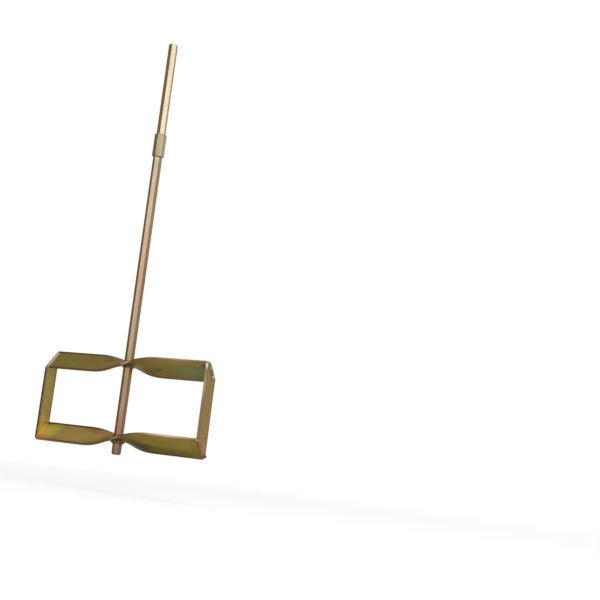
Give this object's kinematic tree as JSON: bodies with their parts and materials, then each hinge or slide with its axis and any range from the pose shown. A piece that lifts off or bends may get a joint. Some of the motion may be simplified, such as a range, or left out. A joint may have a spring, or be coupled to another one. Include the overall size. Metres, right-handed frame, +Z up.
{
  "type": "mortar mixing paddle",
  "caption": "Mortar mixing paddle: hexagonal drive shank, coupling nut and shaft carrying a rectangular flat-bar frame whose top and bottom bars twist like a propeller.",
  "frame": {"origin": "middle of the shaft's lower tip, the lowest point of the paddle", "axes": "+Z up the shaft to the drive end, X across the frame from side bar to side bar, Y through the frame"},
  "size_m": [0.242, 0.03, 0.525],
  "materials": {
    "bright_zinc": "pale yellow-passivated zinc plate",
    "dull_zinc": "dull yellow-passivated zinc plate",
    "shaft_zinc": "yellow-passivated zinc plate, pink in places",
    "yellow_zinc": "yellow-passivated zinc plate, olive and gold with green streaks",
    "weld_zinc": "plated weld metal, brown and uneven"
  },
  "bodies": {
    "shank": {"upper_shank": "bright_zinc"},
    "nut": {"coupling_nut": "dull_zinc"},
    "agitator": {"lower_shaft": "shaft_zinc", "top_bar": "yellow_zinc", "bottom_bar": "yellow_zinc", "left_side_bar": "yellow_zinc", "right_side_bar": "yellow_zinc", "top_bar_weld": "weld_zinc", "bottom_bar_weld": "weld_zinc", "top_left_corner_weld": "weld_zinc", "top_right_corner_weld": "weld_zinc", "bottom_left_corner_weld": "weld_zinc", "bottom_right_corner_weld": "weld_zinc"}
  },
  "joints": [
    {"name": "nut_unscrew", "type": "slide", "parent": "shank", "child": "nut", "axis": [0, 0, -1], "range_m": [0, 0.015]},
    {"name": "agitator_unscrew", "type": "slide", "parent": "nut", "child": "agitator", "axis": [0, 0, -1], "range_m": [0, 0.015]}
  ]
}
